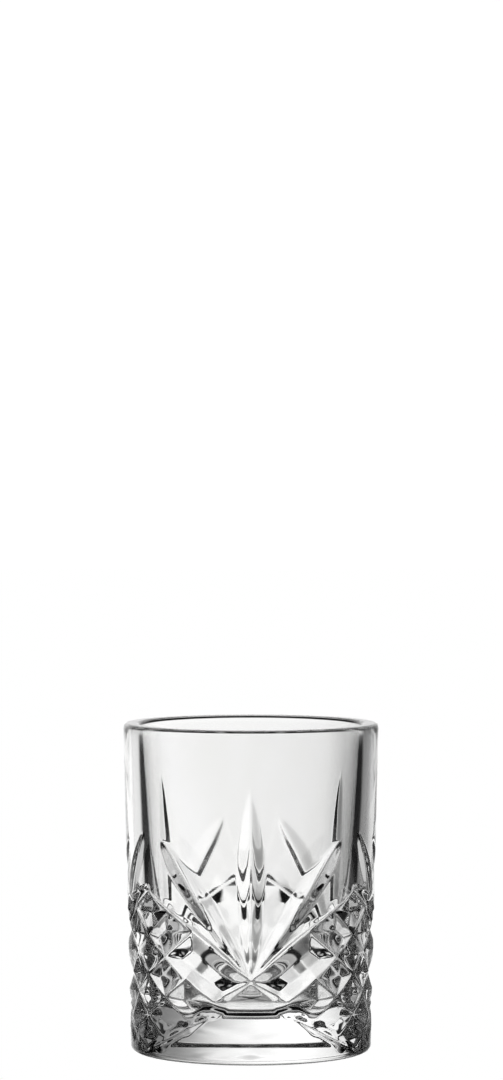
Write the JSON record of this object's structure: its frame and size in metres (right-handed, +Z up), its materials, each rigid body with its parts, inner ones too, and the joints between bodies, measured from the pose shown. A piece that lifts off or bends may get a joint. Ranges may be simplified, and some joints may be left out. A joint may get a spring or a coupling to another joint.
{
  "type": "shot glass",
  "caption": "Clear pressed-glass shot glass with a thick base, a gently flared wall and a cut-crystal pattern of pointed leaves and diamonds.",
  "frame": {"origin": "centre of the foot, on the surface the glass stands on", "axes": "+Z up out of the mouth, -Y towards the first hub of the pattern, +X to the right when that hub faces the viewer"},
  "size_m": [0.05, 0.05, 0.0642],
  "materials": {
    "clear_glass": "clear, fire-polished, colourless"
  },
  "bodies": {
    "root": {"glass": "clear_glass"}
  },
  "joints": []
}
